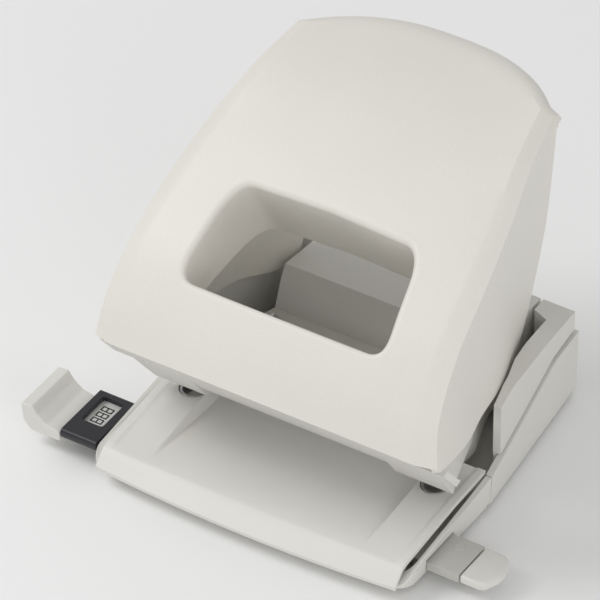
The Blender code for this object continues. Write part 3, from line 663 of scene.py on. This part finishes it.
def build_rear_body():
    """Two shoulders over the tray's rim and the block between them."""
    top = mix_lines([(HOUSING_FRONT, 32.4), (CUSP_Y - 2.0, CUSP_Z), (CUSP_Y + 8.0, CUSP_Z - 0.4),
                     (48.0, 33.0), (HOUSING_REAR, HOUSING_REAR_Z)])
    ys = [HOUSING_FRONT, 22.0, 26.0, 30.0, 34.0, 38.0, 42.0, 46.0, 52.9, 53.1, 59.5, 62.0]
    foot_ys = [HOUSING_FRONT + 0.1] + ys[1:] + [FOOT_REAR]
    for side, name in ((-1, "left"), (1, "right")):
        rings = []
        for y in ys + [HOUSING_REAR]:
            inner, outer, low = SLIT_OUTER(y), base_half_width(y) - 0.9, cover_floor(y)
            rings.append([(side * inner, y, low), (side * outer, y, low),
                          (side * (outer - 0.1), y, top(y)), (side * inner, y, top(y))])
        bm = bmesh.new()
        skin(bm, rings)
        piece = finish_mesh(f"shoulder_{name}", bm, "base", SHELL,
                            (f"housing_{name}",), 30.0)
        rings = [wall_ring(y, side * (SLIT_OUTER(y) + 0.1), side * (base_half_width(y) - 2.3),
                           HOUSING_BOTTOM, cover_floor(y) + 1.5) for y in foot_ys]
        combine(piece, [plain_cutter("foot", rings)], 'UNION')
        add_bevel(piece, 1.1, 4, 40.0)
    block_top = mix_lines([(BLOCK_FRONT, 20.0), (36.0, 20.0), (38.5, 30.0), (40.5, 33.4),
                           (HOUSING_REAR, HOUSING_REAR_Z)])
    block_low = mix_lines([(FOOT_REAR, HOUSING_BOTTOM), (FOOT_REAR + 0.1, cover_floor(BASE_REAR))])
    block_ys = [BLOCK_FRONT, 18.0, 22.0, 26.0, 30.0, 34.0, 36.0, 38.5, 40.5, 45.0, 50.0, 58.0,
                FOOT_REAR, FOOT_REAR + 0.1, HOUSING_REAR]
    bm = bmesh.new()
    skin(bm, [wall_ring(y, -SLIT_INNER(y), SLIT_INNER(y), block_low(y), block_top(y))
              for y in block_ys])
    piece = finish_mesh("rear_block_look", bm, "base", SHELL, ("rear_block",), 30.0)
    slots = []
    for side in (-1, 1):
        near, far = sorted(side * x for x in FRAME_SLOT_X)
        slots.append(plain_cutter(f"frame_slot_{side}",
                                  box_rings((near, 0.0, 0.0), (far, FRAME_SLOT_REAR, 60.0))))
    combine(piece, slots, 'DIFFERENCE')
    add_bevel(piece, 0.8, 4, 30.0)


# ---------------------------------------------------------------- table

TABLE_CREASE_Y = -32.0
LIP_DEPTH = 4.6             # how far the bent front lip reaches forward, and how far its middle bows out
LIP_BOW = 2.4
TABLE_HALF = 49.4
TABLE_THICKNESS = 1.4
PAPER_MARGIN = 12.0
RECESS_HALF = 35.5
RECESS_DEPTH = 4.0
RAIL_HEIGHT = 0.4
DIE_HOLE_RADIUS = 4.2


def table_height(x, y):
    height = mix_lines([(TABLE_CREASE_Y - LIP_DEPTH, 6.2), (TABLE_CREASE_Y - 0.6, 10.2),
                        (TABLE_CREASE_Y, 10.5), (-4.0, 13.2), (PAPER_MARGIN, 13.6)])(y)
    rail = smooth_lines([(46.2, 0.0), (47.2, 1.0)])(abs(x))
    if y >= TABLE_CREASE_Y:
        height += RAIL_HEIGHT * rail * min(1.0, (y - TABLE_CREASE_Y) / 2.0)
    return height


def recess_drop(x, y):
    edge = 1.0 - smooth_lines([(RECESS_HALF - 1.2, 0.0), (RECESS_HALF, 1.0)])(abs(x))
    return edge * mix_lines([(-29.0, 0.0), (-2.0, RECESS_DEPTH), (PAPER_MARGIN, RECESS_DEPTH)])(y)


def build_table():
    half_xs = [8.0, 17.0, 26.0, 34.0, 34.3, 34.6, 34.9, 35.2, 35.5, 36.0, 45.0, 46.2, 46.6, 47.0,
               47.4, 48.2, 49.0, TABLE_HALF]
    xs = [-x for x in reversed(half_xs)] + [0.0] + half_xs
    ys = [TABLE_CREASE_Y - forward for forward in (LIP_DEPTH, 3.6, 2.0, 0.6, 0.0)]
    ys += [-31.0, -30.0, -29.0, -24.0, -16.0, -9.0, -4.0, -2.0, 4.0, PAPER_MARGIN]
    bm = bmesh.new()
    top = []
    bottom = []
    for y in ys:
        front = max(0.0, (TABLE_CREASE_Y - y) / LIP_DEPTH)
        top_row = []
        bottom_row = []
        for x in xs:
            bow = LIP_BOW * front * (1.0 - (x / TABLE_HALF) ** 2)
            height = table_height(x, y) - recess_drop(x, y)
            top_row.append(bm.verts.new((x, y - bow, height)))
            bottom_row.append(bm.verts.new((x, y - bow + 0.3 * front, height - TABLE_THICKNESS)))
        top.append(top_row)
        bottom.append(bottom_row)
    last_row = len(ys) - 1
    last = len(xs) - 1
    for i in range(last_row):
        for j in range(last):
            bm.faces.new((top[i][j], top[i][j + 1], top[i + 1][j + 1], top[i + 1][j]))
            bm.faces.new((bottom[i][j], bottom[i + 1][j],
                          bottom[i + 1][j + 1], bottom[i][j + 1]))
        bm.faces.new((top[i][0], top[i + 1][0], bottom[i + 1][0], bottom[i][0]))
        bm.faces.new((top[i][last], bottom[i][last], bottom[i + 1][last], top[i + 1][last]))
    for j in range(last):
        bm.faces.new((top[0][j], bottom[0][j], bottom[0][j + 1], top[0][j + 1]))
        bm.faces.new((top[last_row][j], top[last_row][j + 1],
                      bottom[last_row][j + 1], bottom[last_row][j]))
    piece = finish_mesh("table_look", bm, "base", TABLE, ("paper_table",), 50.0)
    holes = [plain_cutter(f"die_hole_{side}", rod_rings((side * PIN_X, 0.0), DIE_HOLE_RADIUS, 4.0, 20.0))
             for side in (-1, 1)]
    combine(piece, holes, 'DIFFERENCE')
    add_bevel(piece, 0.3, 2, 50.0)


# ---------------------------------------------------------------- underbody

GUIDE_FRONT = -23.6
GUIDE_REAR = -9.3
GUIDE_Z = 4.4
GUIDE_TOP = 7.2
GAP = 0.3
SHELL_WALL = 2.0
SHELL_FLOOR = 3.5           # top of the floor inside
FRONT_BOW = 2.0             # how far the middle of the front edge stands forward
# Height, share of the width and step back from the front, from the bottom up; None is the top
FRONT_LEVELS = ((1.5, 0.97, 4.4), (2.2, 0.975, 3.4), (3.4, 0.985, 2.0), (4.6, 0.995, 0.9),
                (None, 1.0, 0.0))
# Height and share of the width down the tray's side
TRAY_SIDE = ((6.0, 0.993), (2.4, 0.985), (1.5, 0.975))
SCOOP_HALF = 47.0


def build_front_shell():
    """Plastic tray under the table with rounded front corners and a slot for the guide."""
    corners = [(-BASE_HALF, SEAM_Y), (-BASE_HALF, BASE_FRONT), (0.0, BASE_FRONT - FRONT_BOW),
               (BASE_HALF, BASE_FRONT), (BASE_HALF, SEAM_Y)]
    outline = round_outline(corners, [0.0, 6.0, 60.0, 6.0, 0.0], 10)
    rim = mix_lines([(BASE_FRONT - FRONT_BOW, 5.6), (BASE_FRONT + 1.0, 5.9), (BASE_FRONT + 5.0, 9.3),
                     (-20.0, 9.8), (SEAM_Y, 13.2)])
    rings = []
    for level, narrow, inset in FRONT_LEVELS:
        ring = []
        for x, y in outline:
            z = rim(y) if level is None else min(level, rim(y) - 0.2)
            ring.append((x * narrow, min(y + inset, SEAM_Y) if y < 0.0 else y, z))
        rings.append(ring)
    bm = bmesh.new()
    skin(bm, rings)
    piece = finish_mesh("front_shell", bm, "base", SHELL, ("base_shell",), 40.0)
    inner = BASE_HALF - SHELL_WALL
    hollow = [(x * (inner / BASE_HALF), y + 4.0 if y < 0.0 else SEAM_Y + 2.0) for x, y in outline]
    cutters = [plain_cutter("hollow", [[(x, y, z) for x, y in hollow] for z in (SHELL_FLOOR, 40.0)]),
               plain_cutter("slot", box_rings((-80.0, GUIDE_FRONT - GAP, GUIDE_Z - GAP),
                                              (80.0, GUIDE_REAR + GAP, 8.0)))]
    combine(piece, cutters, 'DIFFERENCE')
    add_bevel(piece, 0.35, 3, 34.0)


def build_tray():
    """Rear half of the underbody: a chip tray that slides out, with a scoop under the dies."""
    rings = []
    for y in run(SEAM_Y + GAP, BASE_REAR, 12):
        half = base_half_width(y)
        inner = half - SHELL_WALL
        top = rim_height(y)
        left = [(-half * share, y, z) for z, share in TRAY_SIDE]
        right = [(half * share, y, z) for z, share in reversed(TRAY_SIDE)]
        rings.append([(-half, y, top)] + left + right
                     + [(half, y, top), (inner, y, top), (inner, y, SHELL_FLOOR),
                        (-inner, y, SHELL_FLOOR), (-inner, y, top)])
    bm = bmesh.new()
    skin(bm, rings)
    piece = finish_mesh("tray_look", bm, "tray", SHELL, ("chip_tray",), 40.0)
    wall_half = REAR_HALF + 0.1
    wall = round_outline([(-wall_half, BASE_REAR - 2.0), (wall_half, BASE_REAR - 2.0),
                          (REAR_HALF - 3.0, BASE_REAR + 1.6), (-REAR_HALF + 3.0, BASE_REAR + 1.6)],
                         [0.0, 0.0, 4.0, 4.0], 6)
    levels = [(1.5, 0.975, -0.8), (2.4, 0.985, -0.4), (6.0, 0.993, -0.1), (None, 1.0, 0.0)]
    rear_wall = plain_cutter("rear_wall", [[(x * narrow, y + back, rim_height(y) + 0.1 if z is None else z)
                                            for x, y in wall] for z, narrow, back in levels])
    tongue = [(-8.0, 3.8), (12.0, 3.8), (12.0, 2.5), (16.0, 2.5), (16.0, 5.4), (-8.0, 5.4)]
    scoop = plain_cutter("scoop", plate_rings(tongue, lambda y: -SCOOP_HALF, lambda y: SCOOP_HALF))
    combine(piece, [rear_wall, scoop], 'UNION')
    combine(piece, [plain_cutter("hollow", box_rings((-45.6, -6.4, 4.8), (45.6, SEAM_Y + 8.0, 9.0)))],
            'DIFFERENCE')
    add_bevel(piece, 0.35, 3, 34.0)


# ---------------------------------------------------------------- paper guide

DIGIT_STROKES = [[(0.0, 0.0), (1.0, 0.0)], [(0.0, 1.0), (1.0, 1.0)], [(0.0, 2.0), (1.0, 2.0)],
                 [(0.0, 0.0), (0.0, 2.0)], [(1.0, 0.0), (1.0, 2.0)]]
DIGIT_START = (-60.6, -22.0)
DIGIT_WIDTH = 1.7
DIGIT_HALF_HEIGHT = 1.7
DIGIT_PITCH = 2.7
STROKE_WIDTH = 0.42
INK_Z = (7.66, 7.74)
BAR_X = (-64.5, 62.0)
END_CAP_FRONT_X = 62.3
STOP_Y = (-31.4, -12.2)
WINDOW_FRAME_X = (-64.4, -52.4)


def build_guide():
    bm = bmesh.new()
    skin(bm, box_rings((BAR_X[0], GUIDE_FRONT, GUIDE_Z), (BAR_X[1], GUIDE_REAR, GUIDE_TOP)))
    bar = finish_mesh("bar_look", bm, "guide", BAR, ("guide_bar",))
    bump = plain_cutter("bump", rod_rings((56.0, -13.0), 1.5, 6.2, 7.4, 32))
    combine(bar, [bump], 'UNION')
    add_bevel(bar, 0.4, 3)

    outline = round_outline([(END_CAP_FRONT_X, GUIDE_FRONT), (70.0, GUIDE_FRONT), (73.0, -16.4),
                             (70.0, GUIDE_REAR), (END_CAP_FRONT_X, GUIDE_REAR)],
                            [0.0, 3.0, 8.0, 3.0, 0.0], 8)
    bm = bmesh.new()
    skin(bm, [[(x, y, z) for x, y in outline] for z in (GUIDE_Z, GUIDE_TOP)])
    cap = finish_mesh("cap_look", bm, "guide", CAP, ("guide_end_cap",))
    add_bevel(cap, 0.8, 4)

    stop = round_outline([(-74.6, 4.6), (-77.2, 7.4), (-78.0, 13.2), (-74.2, 13.6), (-72.4, 11.0),
                          (-69.4, 8.6), (-64.9, 7.8), (-64.9, 4.6)],
                         [1.6, 2.0, 0.8, 0.8, 3.0, 3.0, 0.5, 0.5], 5)
    bm = bmesh.new()
    skin(bm, [[(x, y, z) for x, z in stop] for y in STOP_Y])
    piece = finish_mesh("stop_look", bm, "guide", SHELL, ("guide_stop",))
    add_bevel(piece, 0.5, 3)

    bm = bmesh.new()
    frame_side = round_outline([(-31.6, 6.4), (-32.0, 9.6), (-10.6, 9.6), (-10.6, 6.0)],
                               [1.2, 2.4, 0.8, 0.4], 6)
    skin(bm, [[(x, y, z) for y, z in frame_side] for x in WINDOW_FRAME_X])
    window = finish_mesh("window_frame", bm, "base", BLACK, ("format_window",))
    well = round_outline([(-62.0, -24.6), (-54.9, -24.6), (-54.9, -12.8), (-62.0, -12.8)], 0.9, 4)
    cutters = [plain_cutter("well", [[(x, y, z) for x, y in well] for z in (5.0, 12.0)]),
               plain_cutter("passage", box_rings((-80.0, GUIDE_FRONT - GAP, GUIDE_Z - GAP),
                                                 (-40.0, GUIDE_REAR + GAP, 8.0)))]
    combine(window, cutters, 'DIFFERENCE')
    add_bevel(window, 0.5, 3, 40.0)

    bm = bmesh.new()
    skin(bm, box_rings((-62.4, -23.4, 7.5), (20.0, -12.0, 7.7)))
    finish_mesh("strip_look", bm, "guide", PRINT, ("format_strip",))
    bm = bmesh.new()
    for digit in range(3):
        for start, end in DIGIT_STROKES:
            add_stroke(bm, digit, start, end)
    finish_mesh("strip_digits", bm, "guide", INK)


def add_stroke(bm, digit, start, end):
    """One bar of a seven-bar figure printed on the strip, read from the operator's left."""
    ends = []
    for u, v in (start, end):
        ends.append((DIGIT_START[0] + v * DIGIT_HALF_HEIGHT,
                     DIGIT_START[1] + digit * DIGIT_PITCH + u * DIGIT_WIDTH))
    (x0, y0), (x1, y1) = ends
    grow = STROKE_WIDTH / 2
    low = (min(x0, x1) - grow, min(y0, y1) - grow, INK_Z[0])
    high = (max(x0, x1) + grow, max(y0, y1) + grow, INK_Z[1])
    skin(bm, box_rings(low, high))


# ---------------------------------------------------------------- works inside

STEEL_SINGLES = ["base_plate", "pivot_axle", "pressure_bar"]
STEEL_PAIRS = ["die_bush", "pin_guide", "pin_spring", "press_arm", "punch_pin", "screw_front",
               "screw_rear", "side_frame", "spring_cap"]


def build_works():
    """Finer copies of the CAD solids inside and below, in steel and rubber."""
    bodies = {n: b for b, names in frame["record"]["behaviour"]["bodies"].items() for n in names}
    pairs = [f"{node}_{side}" for node in STEEL_PAIRS for side in ("left", "right")]
    for node in sorted(STEEL_SINGLES + pairs):
        edge = 0.0 if "spring" in node else 0.2
        refined_cad(node, bodies[node], STEEL, edge)
    for node in ("base_mat", "rear_foot_left", "rear_foot_right"):
        refined_cad(node, bodies[node], RUBBER, 0.3)


# ---------------------------------------------------------------- studio

FLOOR_HALF = 3.0            # metres, as all of this section
LIGHT_AIM = Vector((0.0, 0.01, 0.05))


def area_light(name, place, size, power):
    data = bpy.data.lights.new(name, 'AREA')
    data.shape = 'RECTANGLE'
    data.size, data.size_y = size
    data.energy = power
    lamp = bpy.data.objects.new(name, data)
    lamp.location = place
    lamp.rotation_euler = (Vector(place) - LIGHT_AIM).to_track_quat('Z', 'Y').to_euler()
    bpy.context.scene.collection.objects.link(lamp)


def build_studio():
    bm = bmesh.new()
    skin(bm, [[(-FLOOR_HALF, y, 0.0), (FLOOR_HALF, y, 0.0)] for y in (-FLOOR_HALF, FLOOR_HALF)],
         cap=False, closed_ring=False)
    mesh = bpy.data.meshes.new("floor")
    bm.to_mesh(mesh)
    bm.free()
    floor = bpy.data.objects.new("floor", mesh)
    material = new_material("floor_white")[0]
    shader = material.node_tree.nodes["Principled BSDF"]
    shader.inputs['Base Color'].default_value = (0.93, 0.93, 0.93, 1.0)
    shader.inputs['Roughness'].default_value = 0.9
    mesh.materials.append(material)
    bpy.context.scene.collection.objects.link(floor)
    world = bpy.data.worlds.new("studio")
    world.use_nodes = True
    sky = world.node_tree.nodes["Background"]
    sky.inputs['Color'].default_value = (1.0, 1.0, 1.0, 1.0)
    sky.inputs['Strength'].default_value = 0.55
    bpy.context.scene.world = world
    area_light("key", (-0.75, -0.35, 0.95), (0.6, 0.6), 5.6)
    area_light("fill", (0.9, -0.6, 0.4), (0.8, 0.6), 2.6)
    bpy.context.scene.view_settings.view_transform = 'Standard'


build_camera()
build_studio()
build_handle()
build_jaw()
build_rear_body()
build_table()
build_front_shell()
build_tray()
build_guide()
build_works()
